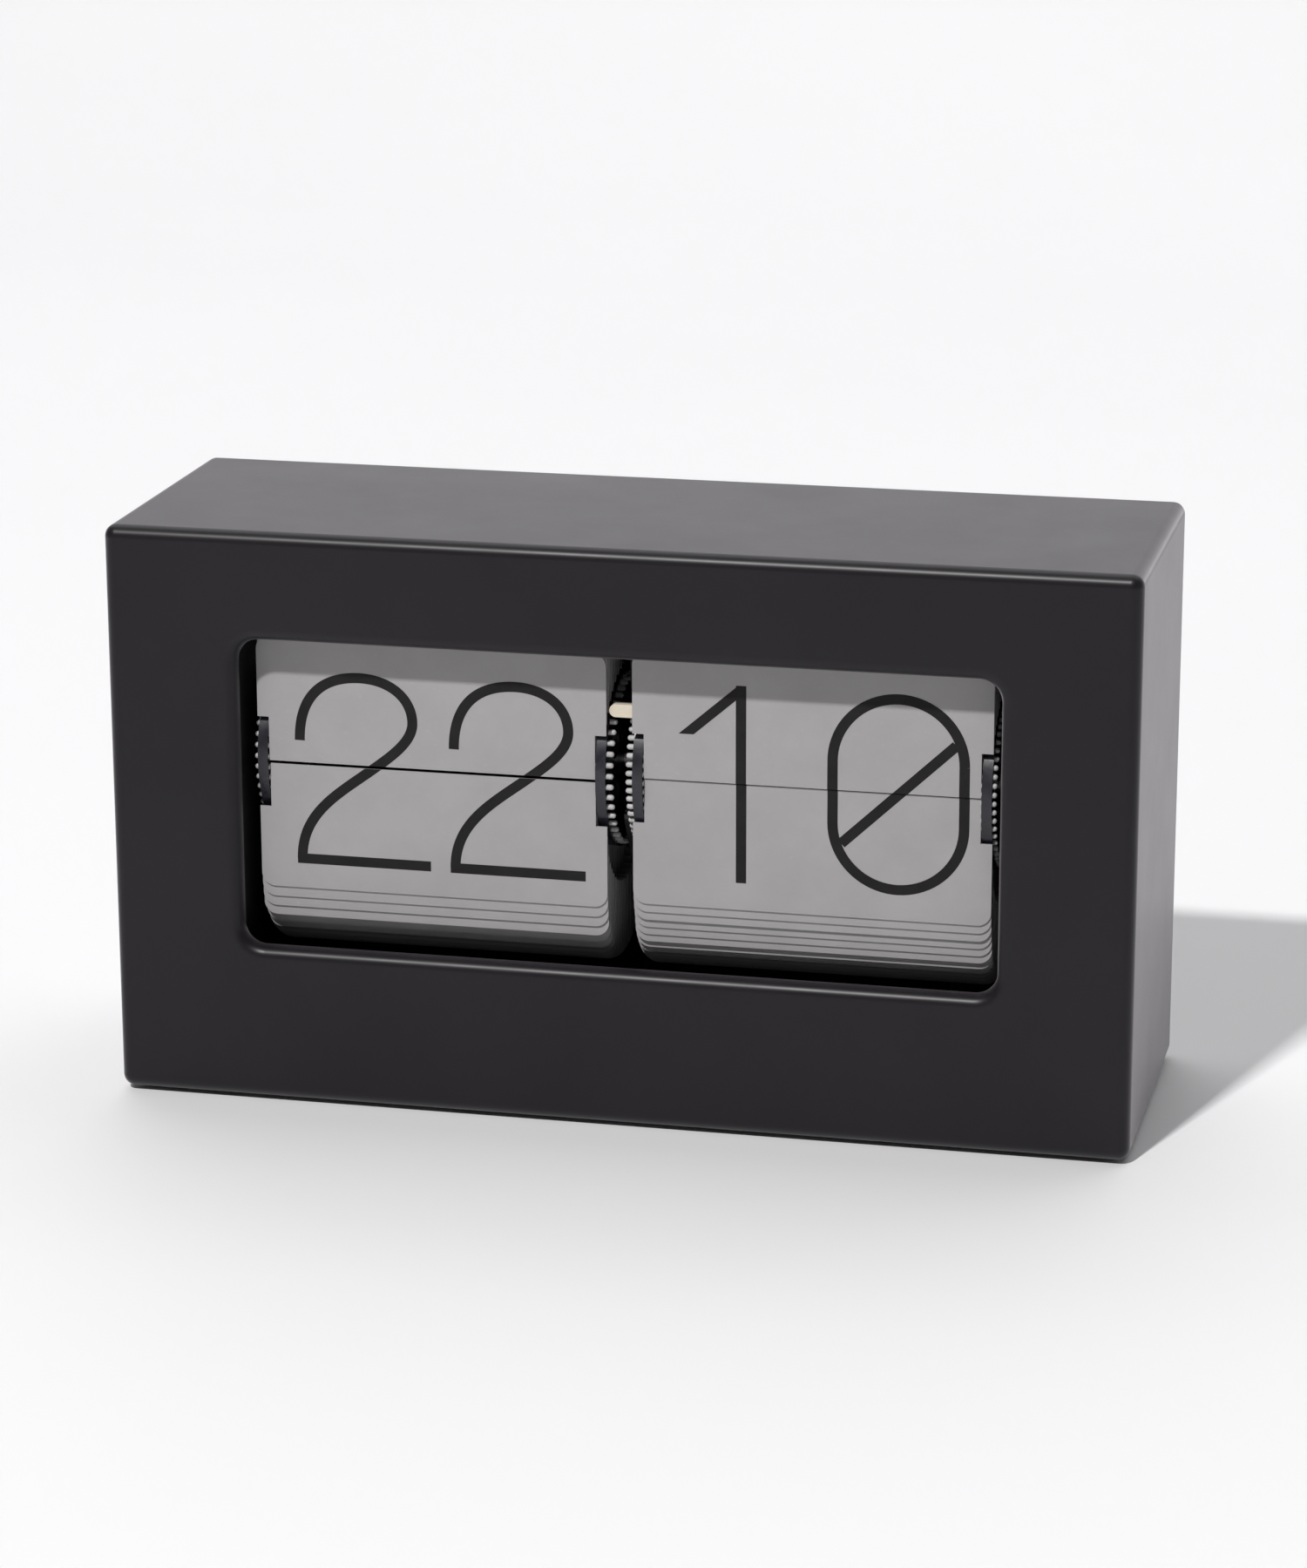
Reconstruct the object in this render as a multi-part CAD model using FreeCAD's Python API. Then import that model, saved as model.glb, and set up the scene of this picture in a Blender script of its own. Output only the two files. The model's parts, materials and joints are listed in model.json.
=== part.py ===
"""Table clock with falling number flaps: boxed case, two flap reels, gear train and battery bay.

Millimetres. X runs to the right as seen from the front, Y from front to back, Z up.
The origin is on the table, below the middle of the case.
"""
import FreeCAD
import Part
import math
import os

V = FreeCAD.Vector

# ---- case ----
WIDTH = 205.0
DEPTH = 68.0
CASE_HEIGHT = 116.6
FOOT_HEIGHT = 0.8
WALL = 2.6
FRONT_WALL = 3.0
EDGE_ROUND = 2.4
COVER_THICK = 2.0
COVER_RECESS = 4.0
COVER_GAP = 0.2
WINDOW_HALF = 76.0
WINDOW_LOW = 32.6
WINDOW_TOP = 95.6
WINDOW_CORNER = 4.5
WINDOW_ROUND = 2.4
FOOT_R = 5.0
FOOT_SPOTS = [(x, y) for x in (-88.0, 88.0) for y in (-25.0, 25.0)]
SCREW_R = 1.0
SCREW_REACH = 12.0
SCREW_HEAD_R = 2.6
SCREW_HEAD = 1.4
CROSS_LONG = 1.6
CROSS_WIDE = 0.3
POST_HALF = 4.0
POST_FRONT = 8.0
PILOT_R = 1.1
COVER_ROUND = 1.0
VENT_ROWS = 5
VENT_LEFT = -78.0
VENT_RIGHT = -48.0
VENT_LOW = 74.0
VENT_PITCH = 4.0
VENT_HIGH = 1.6

# ---- reels and flaps ----
AXIS_Y = -9.0
AXIS_Z = 69.5
PIVOT_R = 16.8
DISC_R = 17.8
DISC_THICK = 2.0
DRUM_R = 5.0
FLAP_HALF = 35.6
NECK_HALF = 33.3
DISC_IN = 33.5
PIN_OUT = 36.4
PIN_GAP_OUT = 37.0
PIN_R = 0.55
PIN_HOLE_R = 0.6
FLAP_REACH = 24.8
FLAP_THICK = 0.3
FLAP_ROOT = 0.75
NOTCH = 8.2
FLAP_CORNER = 2.7
STACK_PITCH = 0.36
STANDING_OFFSET = 0.12
HOUR = {"side": -1, "centre": -38.45, "count": 48, "first": 1.9, "spread": 8.0,
        "pressed": (0.36, 0.36, 0.36)}
MINUTE = {"side": 1, "centre": 37.95, "count": 60, "first": 4.9, "spread": 9.0,
          "pressed": (0.36, 0.36, 0.6, 0.36, 0.36)}
LUG_ANGLE = 60.0
LUG_R = 0.6
DISC_HOLES = 6
DISC_HOLE_R = 3.0
DISC_HOLE_CIRCLE = 10.2

# ---- chassis ----
PLATE_IN = 77.4
PLATE_THICK = 1.6
PLATE_HALF_Y = 27.0
PLATE_LOW = 6.0
PLATE_TOP = 108.0
TIE_R = 2.0
TIES = [(-24.0, 104.0), (24.0, 104.0), (24.0, 28.0), (-24.0, 12.0)]
PLATE_FLANGE = 8.0
TIE_SCREW_R = 1.15
TIE_HOLE_R = 1.2
TIE_HEAD_R = 2.4
TIE_HEAD = 1.2
WEB_HALF = 0.6
CENTRE_BUSH_R = 3.0
BUSH_R = 3.6
TUBE_BUSH_R = 4.6
RAIL_Y = -27.2
RAIL_THICK = 1.2
RAIL_LOW = 102.0
RAIL_TOP = 108.0
CHEEK_IN = 1.4
CHEEK_OUT = 2.6
LEAF_HALF = 5.0
LEAF_TOP = 106.0
LEAF_THICK = 0.4
LEAF_GAP = 0.2
LEVER_PIVOT = (-14.0, 104.0)
LEVER_PIN_R = 1.0
LEVER_PIN_HALF = 3.2
LEVER_HUB_R = 2.4
LEVER_HUB_HALF = 1.2
LEVER_ELBOW_Y = -12.5
LEVER_HALF = 0.7
LEVER_HIGH = 1.0
FINGER_Z = 83.3
FINGER_Y = -24.0
FINGER_HALF = 1.3
FINGER_LEFT = -1.15
FINGER_RIGHT = 2.2

# ---- shafts and gears ----
SHAFT_R = 1.5
TUBE_R = 3.0
RUN = 0.05
MODULE = 0.5
PRESSURE = math.radians(25)
BACKLASH = 0.08
DRIVE_TEETH = 84
MINUTE_TEETH = 15
MOTION_TEETH = 90
MOTION_PINION = 21
HOUR_TEETH = 84
MOTOR_TEETH = 12
SETTING_TEETH = 36
MOTION_ANGLE = -79.0
MOTOR_ANGLE = 45.0
SETTING_ANGLE = -25.0
DRIVE_X = (80.5, 82.5)
WHEEL_X = (84.0, 85.6)
HOUR_WHEEL_X = (88.0, 90.0)
THUMB_X = (91.5, 96.5)
THUMB_R = 13.6
GROOVES = 40
GROOVE_R = 0.45
WEB_HOLE_R = 4.2
WEB_CIRCLE = 12.0
MOTION_HOLE_R = 3.6
MOTION_CIRCLE = 13.5
HUB_R = 3.2
CLIP_R = 2.8
SHAFT_LEFT = -84.0
SHAFT_RIGHT = 92.0
MOTOR_X = (84.0, 98.6)
MOTOR_EDGE = 1.45
MOTOR_DEEP = 19.5
MOTOR_HIGH = 17.5
MOTOR_POST_R = 2.0

# ---- battery bay ----
BAY_HALF = 60.0
BAY_LOW = 5.0
BAY_TOP = 23.0
BAY_FRONT = 10.0
BAY_WALL = 1.4
CELL_R = 7.1
CELL_LENGTH = 50.0
DOOR_HALF = 56.0
DOOR_LOW = 7.0
DOOR_TOP = 21.5
DOOR_GAP = 0.25
DOOR_ROUND = 0.8
BUTTON_R = 2.7
BUTTON = 1.0
CELL_GAP = 0.4
COIL_R = 3.0
COIL_PITCH = 1.6
WIRE_R = 0.35
CONTACT_THICK = 0.4
CONTACT_HALF = (5.0, 6.0)

# ---- circuit board ----
BOARD_HALF = 20.0
BOARD_LOW = 34.0
BOARD_TOP = 62.0
BOARD_THICK = 1.6
BOARD_STANDOFF = 3.0
BOARD_POST_SPOTS = [(y, z) for z in (37.0, 59.0) for y in (-17.0, 17.0)]
BOARD_POST_R = 1.8
CHIP_THICK = 1.8
CRYSTAL_SPOT = (10.0, 48.0)
CRYSTAL_R = 1.5
CRYSTAL_LONG = 8.0

COVER_BACK = DEPTH / 2 - COVER_RECESS
COVER_FRONT = COVER_BACK - COVER_THICK
INNER_HALF = WIDTH / 2 - WALL
FLOOR_IN = FOOT_HEIGHT + WALL
ROOF_IN = FOOT_HEIGHT + CASE_HEIGHT - WALL
PLATE_OUT = PLATE_IN + PLATE_THICK
CELL_Y = 19.0
CELL_Z = (BAY_LOW + BAY_TOP) / 2
BOARD_OUT = -PLATE_OUT - BOARD_STANDOFF - BOARD_THICK
SCREW_SPOTS = [(x, z) for x in (-93.0, 93.0) for z in (10.5, 107.5)]


# ---------------------------------------------------------------- helpers
def block(low, high):
    """Box between two opposite corners."""
    size = [high[i] - low[i] for i in range(3)]
    return Part.makeBox(*size, V(*low))


def rod(centre, radius, start, end):
    """Cylinder along X; centre is (y, z)."""
    return Part.makeCylinder(radius, end - start, V(start, *centre), V(1, 0, 0))


def rod_y(centre, radius, start, end):
    """Cylinder along Y; centre is (x, z)."""
    return Part.makeCylinder(radius, end - start, V(centre[0], start, centre[1]), V(0, 1, 0))


def ring(centre, inner, outer, start, end):
    """Tube along X."""
    return rod(centre, outer, start, end).cut(rod(centre, inner, start - 1, end + 1))


def prism(points, start, end):
    """Prism along X from a closed (y, z) outline."""
    corners = [V(start, y, z) for y, z in points]
    face = Part.Face(Part.makePolygon(corners + corners[:1]))
    return face.extrude(V(end - start, 0, 0))


def rounded_plate(half_x, low_z, high_z, radius, start_y, end_y):
    """Plate across Y with four rounded corners."""
    plate = block((-half_x, start_y, low_z), (half_x, end_y, high_z))
    edges = [e for e in plate.Edges if abs(e.tangentAt(e.FirstParameter).y) > 0.99]
    return plate.makeFillet(radius, edges)


def polar(radius, degrees):
    """Point at an angle about the reel axis, measured from +Y towards +Z."""
    angle = math.radians(degrees)
    return AXIS_Y + radius * math.cos(angle), AXIS_Z + radius * math.sin(angle)


def group(shapes):
    return Part.makeCompound(shapes)


# ---------------------------------------------------------------- gears
def tooth_outline(teeth, phase, centre):
    """Closed (y, z) outline of a spur gear with involute flanks."""
    pitch_r = MODULE * teeth / 2
    base_r = pitch_r * math.cos(PRESSURE)
    root_r = pitch_r - 1.25 * MODULE
    tip_r = pitch_r + 0.9 * MODULE
    half = (math.pi * MODULE - BACKLASH) / (4 * pitch_r)
    pitch_inv = math.tan(PRESSURE) - PRESSURE
    start_r = max(base_r, root_r)
    flank = []
    for step in range(4):
        radius = start_r + (tip_r - start_r) * step / 3
        lean = math.acos(base_r / radius)
        flank.append((radius, half + pitch_inv - (math.tan(lean) - lean)))
    points = []
    for tooth in range(teeth):
        middle = math.radians(phase) + 2 * math.pi * tooth / teeth
        side = [(root_r, middle - flank[0][1])] + [(r, middle - a) for r, a in flank]
        other = [(r, middle + a) for r, a in reversed(flank)] + [(root_r, middle + flank[0][1])]
        for radius, angle in side + other:
            spot = (centre[0] + radius * math.cos(angle), centre[1] + radius * math.sin(angle))
            if not points or math.dist(points[-1], spot) > 0.01:
                points.append(spot)
    return points


def gear(teeth, phase, centre, span, bore=0.0):
    wheel = prism(tooth_outline(teeth, phase, centre), *span)
    if bore:
        wheel = wheel.cut(rod(centre, bore, span[0] - 1, span[1] + 1))
    return wheel


def lighten(wheel, centre, circle_r, hole_r, count, span):
    """Round lightening holes through a wheel's web."""
    for index in range(count):
        angle = 2 * math.pi * (index + 0.5) / count
        spot = (centre[0] + circle_r * math.cos(angle), centre[1] + circle_r * math.sin(angle))
        wheel = wheel.cut(rod(spot, hole_r, span[0] - 1, span[1] + 1))
    return wheel


def meshed_phase(teeth, phase, mate_teeth, direction):
    """Phase of the mating gear, whose centre lies in that direction (degrees)."""
    pitch = 360 / teeth
    mate_pitch = 360 / mate_teeth
    part = ((direction - phase) / pitch) % 1
    return direction + 180 + (part + 0.5) * mate_pitch


AXIS = (AXIS_Y, AXIS_Z)
MOTION_SPOT = polar(MODULE * (MINUTE_TEETH + MOTION_TEETH) / 2, MOTION_ANGLE)
MOTOR_SPOT = polar(MODULE * (DRIVE_TEETH + MOTOR_TEETH) / 2, MOTOR_ANGLE)
SETTING_SPOT = polar(MODULE * (DRIVE_TEETH + SETTING_TEETH) / 2, SETTING_ANGLE)


# ---------------------------------------------------------------- case
def front_case():
    outer = block((-WIDTH / 2, -DEPTH / 2, FOOT_HEIGHT), (WIDTH / 2, DEPTH / 2, ROOF_IN + WALL))
    outer = outer.makeFillet(EDGE_ROUND, outer.Edges)
    hollow = block((-INNER_HALF, -DEPTH / 2 + FRONT_WALL, FLOOR_IN), (INNER_HALF, DEPTH, ROOF_IN))
    shell = outer.cut(hollow)
    window = rounded_plate(WINDOW_HALF, WINDOW_LOW, WINDOW_TOP, WINDOW_CORNER,
                           -DEPTH, -DEPTH / 2 + FRONT_WALL + 1)
    shell = shell.cut(window)
    rim = [e for e in shell.Edges
           if abs(e.BoundBox.YMin + DEPTH / 2) < 0.01 and abs(e.BoundBox.YMax + DEPTH / 2) < 0.01
           and abs(e.CenterOfMass.x) < WINDOW_HALF + 1
           and WINDOW_LOW - 1 < e.CenterOfMass.z < WINDOW_TOP + 1]
    shell = shell.makeFillet(WINDOW_ROUND, rim)
    for x, z in SCREW_SPOTS:
        wall_x = math.copysign(INNER_HALF + 0.5, x)
        post = block((min(x - POST_HALF, wall_x), POST_FRONT, z - POST_HALF),
                     (max(x + POST_HALF, wall_x), COVER_FRONT, z + POST_HALF))
        reach = FLOOR_IN - 0.5 if z < AXIS_Z else ROOF_IN + 0.5
        foot = block((x - POST_HALF, POST_FRONT, min(z, reach)),
                     (x + POST_HALF, COVER_FRONT, max(z, reach)))
        shell = shell.fuse(post).fuse(foot)
    for x, z in SCREW_SPOTS:
        shell = shell.cut(rod_y((x, z), PILOT_R, COVER_BACK - SCREW_REACH, COVER_FRONT + 1))
    return shell.removeSplitter()


def rear_cover():
    half = INNER_HALF - COVER_GAP
    plate = rounded_plate(half, FLOOR_IN + COVER_GAP, ROOF_IN - COVER_GAP, COVER_ROUND,
                          COVER_FRONT, COVER_BACK)
    doorway = block((-DOOR_HALF, COVER_FRONT - 1, DOOR_LOW), (DOOR_HALF, COVER_BACK + 1, DOOR_TOP))
    slot = block((THUMB_X[0] - 0.8, COVER_FRONT - 1, SETTING_SPOT[1] - 10),
                 (THUMB_X[1] + 0.8, COVER_BACK + 1, SETTING_SPOT[1] + 10))
    plate = plate.cut(doorway).cut(slot)
    for x, z in SCREW_SPOTS:
        plate = plate.cut(rod_y((x, z), SCREW_R + 0.3, COVER_FRONT - 1, COVER_BACK + 1))
    for row in range(VENT_ROWS):
        low = VENT_LOW + VENT_PITCH * row
        vent = block((VENT_LEFT, COVER_FRONT - 1, low), (VENT_RIGHT, COVER_BACK + 1, low + VENT_HIGH))
        plate = plate.cut(vent)
    return plate


def battery_box():
    """Open-backed tray behind the doorway."""
    outer = block((-BAY_HALF, BAY_FRONT, BAY_LOW), (BAY_HALF, COVER_FRONT, BAY_TOP))
    inner = block((-BAY_HALF + BAY_WALL, BAY_FRONT + BAY_WALL, BAY_LOW + BAY_WALL),
                  (BAY_HALF - BAY_WALL, COVER_FRONT + 1, BAY_TOP - BAY_WALL))
    return outer.cut(inner)


def battery_door():
    plate = block((-DOOR_HALF + DOOR_GAP, COVER_FRONT + 0.2, DOOR_LOW + DOOR_GAP),
                  (DOOR_HALF - DOOR_GAP, COVER_BACK, DOOR_TOP - DOOR_GAP))
    lower = [e for e in plate.Edges if abs(e.tangentAt(e.FirstParameter).x) > 0.99
             and e.CenterOfMass.z < DOOR_LOW + 1]
    plate = plate.makeFillet(DOOR_ROUND, lower)
    grip = block((-6.0, COVER_BACK - 0.9, DOOR_TOP - 4.0), (6.0, COVER_BACK + 1, DOOR_TOP - 2.2))
    return plate.cut(grip)


def cover_screws():
    screws = []
    for x, z in SCREW_SPOTS:
        shank = rod_y((x, z), SCREW_R, COVER_BACK - SCREW_REACH, COVER_BACK + 0.2)
        screw = shank.fuse(rod_y((x, z), SCREW_HEAD_R, COVER_BACK, COVER_BACK + SCREW_HEAD))
        for half_x, half_z in ((CROSS_LONG, CROSS_WIDE), (CROSS_WIDE, CROSS_LONG)):
            screw = screw.cut(block((x - half_x, COVER_BACK + SCREW_HEAD / 2, z - half_z),
                                    (x + half_x, COVER_BACK + SCREW_HEAD + 1, z + half_z)))
        screws.append(screw)
    return group(screws)


def rubber_feet():
    return group([Part.makeCylinder(FOOT_R, FOOT_HEIGHT, V(x, y, 0)) for x, y in FOOT_SPOTS])


# ---------------------------------------------------------------- chassis
def side_plate(side, bearing_r):
    low_x = PLATE_IN if side > 0 else -PLATE_OUT
    plate = block((low_x, -PLATE_HALF_Y, PLATE_LOW), (low_x + PLATE_THICK, PLATE_HALF_Y, PLATE_TOP))
    plate = plate.cut(rod(AXIS, bearing_r, low_x - 1, low_x + PLATE_THICK + 1))
    for spot in TIES:
        plate = plate.cut(rod(spot, TIE_HOLE_R, low_x - 1, low_x + PLATE_THICK + 1))
    flange_x = low_x + side * PLATE_FLANGE
    base = block((min(low_x, flange_x), -PLATE_HALF_Y, FLOOR_IN),
                 (max(low_x + PLATE_THICK, flange_x), PLATE_HALF_Y, PLATE_LOW))
    return plate.fuse(base).removeSplitter()


def tie_bars():
    return group([rod(spot, TIE_R, -PLATE_IN, PLATE_IN) for spot in TIES])


def tie_screws():
    screws = []
    for spot in TIES:
        for side in (-1, 1):
            head = rod(spot, TIE_HEAD_R, *sorted((side * PLATE_OUT, side * (PLATE_OUT + TIE_HEAD))))
            shank = rod(spot, TIE_SCREW_R, *sorted((side * PLATE_IN, side * PLATE_OUT)))
            screws.append(head.fuse(shank))
    return group(screws)


def centre_bracket():
    """Thin web in the gap between the reels, carrying the middle bearing."""
    arm = prism([(AXIS_Y - 5, AXIS_Z - 5), (AXIS_Y - 2, AXIS_Z + 6), (TIES[1][0], TIES[1][1] - 4),
                 (TIES[1][0] + 3, TIES[1][1] + 3), (TIES[1][0] + 3, TIES[2][1] - 3),
                 (TIES[2][0] - 4, TIES[2][1] - 3)], -WEB_HALF, WEB_HALF)
    lip = prism([(AXIS_Y - 5, AXIS_Z - 5), (TIES[2][0] - 4, TIES[2][1] - 3), (-8.0, 40.0), (-20.5, 60.0),
                 (-20.5, 61.0)], -WEB_HALF, WEB_HALF)
    web = arm.fuse(lip)
    web = web.cut(rod(AXIS, CENTRE_BUSH_R, -2, 2))
    for spot in TIES[1:3]:
        web = web.cut(rod(spot, TIE_R, -2, 2))
    return web.removeSplitter()


def centre_bush():
    return ring(AXIS, SHAFT_R + RUN, CENTRE_BUSH_R, -WEB_HALF, WEB_HALF)


def left_bush():
    return ring(AXIS, SHAFT_R + RUN, BUSH_R, -PLATE_OUT, -PLATE_IN)


def right_bush():
    return ring(AXIS, TUBE_R + RUN, TUBE_BUSH_R, PLATE_IN, PLATE_OUT)


def leaf(reel):
    """Strip whose lower edge sits just above the tip of the flap that is about to fall."""
    low = pivot_point(reel["first"])[1] + FLAP_REACH + LEAF_GAP
    centre = reel["centre"]
    return block((centre - LEAF_HALF, RAIL_Y - LEAF_THICK, low), (centre + LEAF_HALF, RAIL_Y, LEAF_TOP))


def catch_rail():
    """Bar across the top of the chassis, with two cheeks that carry the lever pin."""
    rail = block((-PLATE_IN, RAIL_Y, RAIL_LOW), (PLATE_IN, RAIL_Y + RAIL_THICK, RAIL_TOP))
    for side in (-1, 1):
        start, end = sorted((side * CHEEK_IN, side * CHEEK_OUT))
        cheek = block((start, RAIL_Y + RAIL_THICK / 2, RAIL_LOW - 0.5), (end, LEVER_PIVOT[0] + 3, RAIL_TOP))
        rail = rail.fuse(cheek)
    rail = rail.cut(rod(TIES[0], TIE_R, -PLATE_IN - 1, PLATE_IN + 1))
    rail = rail.cut(rod(LEVER_PIVOT, LEVER_PIN_R, -LEVER_PIN_HALF - 1, LEVER_PIN_HALF + 1))
    return rail.removeSplitter()


def lever_pin():
    return rod(LEVER_PIVOT, LEVER_PIN_R, -LEVER_PIN_HALF, LEVER_PIN_HALF)


def trip_lever():
    """Black cranked arm in the gap, hung from the lever pin and reaching forward between the discs."""
    low = FINGER_Z - LEVER_HIGH
    drop = prism([(LEVER_PIVOT[0] - 1.5, LEVER_PIVOT[1]), (LEVER_PIVOT[0] + 1.5, LEVER_PIVOT[1]),
                  (LEVER_ELBOW_Y + 1.2, low), (LEVER_ELBOW_Y - 1.2, low)], -LEVER_HALF, LEVER_HALF)
    reach = block((-LEVER_HALF, FINGER_Y, low), (LEVER_HALF, LEVER_ELBOW_Y, FINGER_Z + LEVER_HIGH))
    hub = rod(LEVER_PIVOT, LEVER_HUB_R, -LEVER_HUB_HALF, LEVER_HUB_HALF)
    lever = drop.fuse(reach).fuse(hub)
    return lever.cut(rod(LEVER_PIVOT, LEVER_PIN_R + RUN, -LEVER_PIN_HALF, LEVER_PIN_HALF)).removeSplitter()


def trip_finger():
    """Cream pad pushed on the front end of the lever."""
    pad = block((FINGER_LEFT, FINGER_Y - 1, FINGER_Z - FINGER_HALF),
                (FINGER_RIGHT, FINGER_Y + 1, FINGER_Z + FINGER_HALF))
    nose = rod_y((FINGER_LEFT, FINGER_Z), FINGER_HALF, FINGER_Y - 1, FINGER_Y + 1)
    socket = block((-LEVER_HALF, FINGER_Y, FINGER_Z - LEVER_HIGH),
                   (LEVER_HALF, FINGER_Y + 2, FINGER_Z + LEVER_HIGH))
    return pad.fuse(nose).cut(socket).removeSplitter()


# ---------------------------------------------------------------- reels
def pivot_point(degrees):
    """Flap pivot at an angle up from the front of the reel."""
    angle = math.radians(degrees)
    return AXIS_Y - PIVOT_R * math.cos(angle), AXIS_Z + PIVOT_R * math.sin(angle)


def pivot_angles(reel):
    step = 360 / reel["count"]
    return [reel["first"] + step * index for index in range(reel["count"])]


def disc(reel, outward, bore_r, lug_angle=None):
    """Flanged wheel with a hole for every flap pivot; outward is +1 or -1 along X."""
    centre = reel["centre"]
    start, end = sorted((centre + outward * DISC_IN, centre + outward * (DISC_IN + DISC_THICK)))
    wheel = rod(AXIS, DISC_R, start, end)
    if lug_angle is not None:
        wheel = wheel.fuse(rod(polar(DISC_R, lug_angle), LUG_R, start, end))
    holes = [rod(pivot_point(angle), PIN_HOLE_R, start - 1, end + 1) for angle in pivot_angles(reel)]
    wheel = wheel.cut(holes).cut(rod(AXIS, bore_r, start - 1, end + 1))
    return lighten(wheel, AXIS, DISC_HOLE_CIRCLE, DISC_HOLE_R, DISC_HOLES, (start, end))


def drum(reel, bore_r):
    centre = reel["centre"]
    return ring(AXIS, bore_r, DRUM_R, centre - DISC_IN, centre + DISC_IN)


def flap_pins(reel):
    """Pivot ends of all flaps, standing out through both discs."""
    centre = reel["centre"]
    pins = []
    for angle in pivot_angles(reel):
        for outward in (-1, 1):
            reach = PIN_OUT if outward == reel["side"] else PIN_GAP_OUT
            tip = centre + outward * (reach - PIN_R)
            ends = sorted((centre + outward * (NECK_HALF + 0.05), tip))
            nose = Part.makeSphere(PIN_R, V(tip, *pivot_point(angle)))
            pins.append(rod(pivot_point(angle), PIN_R, *ends).fuse(nose).removeSplitter())
    return group(pins)


def flap(reel, degrees, lean, offset=0.0, root=0.0):
    """One flap hinged at an angle on the reel; lean 0 stands up, 180 hangs down."""
    half_t = FLAP_THICK / 2
    body = block((-FLAP_HALF, -half_t, NOTCH), (FLAP_HALF, half_t, FLAP_REACH))
    tips = [e for e in body.Edges if abs(e.tangentAt(e.FirstParameter).y) > 0.99
            and e.CenterOfMass.z > FLAP_REACH - 1]
    body = body.makeFillet(FLAP_CORNER, tips)
    neck = block((-NECK_HALF, -half_t, -root), (NECK_HALF, half_t, NOTCH))
    leafed = body.fuse(neck).removeSplitter()
    leafed.translate(V(0, offset, 0))
    leafed.rotate(V(0, 0, 0), V(1, 0, 0), -lean)
    leafed.translate(V(reel["centre"], *pivot_point(degrees)))
    return leafed


def standing_flaps(reel):
    """Flaps behind the front one, up over the top and down the back until they hang."""
    flaps = []
    for angle in pivot_angles(reel)[1:]:
        lean = angle - reel["spread"]
        if lean < 180:
            flaps.append(flap(reel, angle, lean, STANDING_OFFSET * math.cos(math.radians(lean))))
    return flaps


def hanging_angles(reel):
    """Pivot angles of the hanging flaps, from the front down and round to the back."""
    step = 360 / reel["count"]
    count = reel["count"] - 1 - len(standing_flaps(reel))
    return [reel["first"] - step * (index + 1) for index in range(count)]


def hanging_flaps(reel):
    """Fallen flaps from the front back: the first few are pressed together, the rest hang down."""
    root_y = tip_y = pivot_point(reel["first"])[0]
    gaps = (STACK_PITCH, *reel["pressed"])
    flaps = []
    for index, angle in enumerate(hanging_angles(reel)):
        pivot_y = pivot_point(angle)[0]
        root_y = max(root_y + STACK_PITCH, pivot_y)
        tip_y = tip_y + gaps[index] if index < len(gaps) else max(tip_y + STACK_PITCH, root_y)
        tilt = math.degrees(math.asin((tip_y - root_y) / FLAP_REACH))
        flaps.append(flap(reel, angle, 180 - tilt, pivot_y - root_y, 0.0 if flaps else FLAP_ROOT))
    return flaps


# ---------------------------------------------------------------- gear train
def minute_tube():
    return ring(AXIS, SHAFT_R + RUN, TUBE_R, 1.0, 86.6)


def hour_shaft():
    return rod(AXIS, SHAFT_R, SHAFT_LEFT, SHAFT_RIGHT)


def shaft_clip():
    return ring(AXIS, SHAFT_R, CLIP_R, -81.6, -80.6)


def drive_gear():
    wheel = gear(DRIVE_TEETH, 0.0, AXIS, DRIVE_X, TUBE_R)
    return lighten(wheel, AXIS, WEB_CIRCLE, WEB_HOLE_R, 6, DRIVE_X)


def minute_pinion():
    return gear(MINUTE_TEETH, 0.0, AXIS, (WHEEL_X[0] - 0.6, WHEEL_X[1] + 0.6), TUBE_R)


def motion_wheel():
    phase = meshed_phase(MINUTE_TEETH, 0.0, MOTION_TEETH, MOTION_ANGLE)
    wheel = gear(MOTION_TEETH, phase, MOTION_SPOT, WHEEL_X)
    wheel = lighten(wheel, MOTION_SPOT, MOTION_CIRCLE, MOTION_HOLE_R, 5, WHEEL_X)
    pinion = gear(MOTION_PINION, 0.0, MOTION_SPOT, (WHEEL_X[1], HOUR_WHEEL_X[1] + 0.6))
    return wheel.fuse(pinion).cut(rod(MOTION_SPOT, SHAFT_R + RUN, 80, 95))


def motion_stud():
    return rod(MOTION_SPOT, SHAFT_R, PLATE_OUT, HOUR_WHEEL_X[1] + 1.6).fuse(
        rod(MOTION_SPOT, TUBE_R, PLATE_OUT, WHEEL_X[0] - 0.2))


def hour_wheel():
    phase = meshed_phase(MOTION_PINION, 0.0, HOUR_TEETH, MOTION_ANGLE + 180)
    wheel = gear(HOUR_TEETH, phase, AXIS, HOUR_WHEEL_X)
    wheel = lighten(wheel, AXIS, WEB_CIRCLE, WEB_HOLE_R, 6, HOUR_WHEEL_X)
    hub = rod(AXIS, HUB_R, HOUR_WHEEL_X[0] - 0.8, HOUR_WHEEL_X[1] + 1.2)
    return wheel.fuse(hub).cut(rod(AXIS, SHAFT_R, 80, 95))


def motor_body():
    """Geared motor in its moulded housing, output shaft near one corner."""
    low_y, low_z = MOTOR_SPOT[0] - MOTOR_EDGE, MOTOR_SPOT[1] - MOTOR_EDGE
    body = block((MOTOR_X[0], low_y, low_z), (MOTOR_X[1], low_y + MOTOR_DEEP, low_z + MOTOR_HIGH))
    body = body.makeFillet(1.0, [e for e in body.Edges if abs(e.tangentAt(e.FirstParameter).x) > 0.99])
    return body.cut(rod(MOTOR_SPOT, 0.8, 83, 90))


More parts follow.
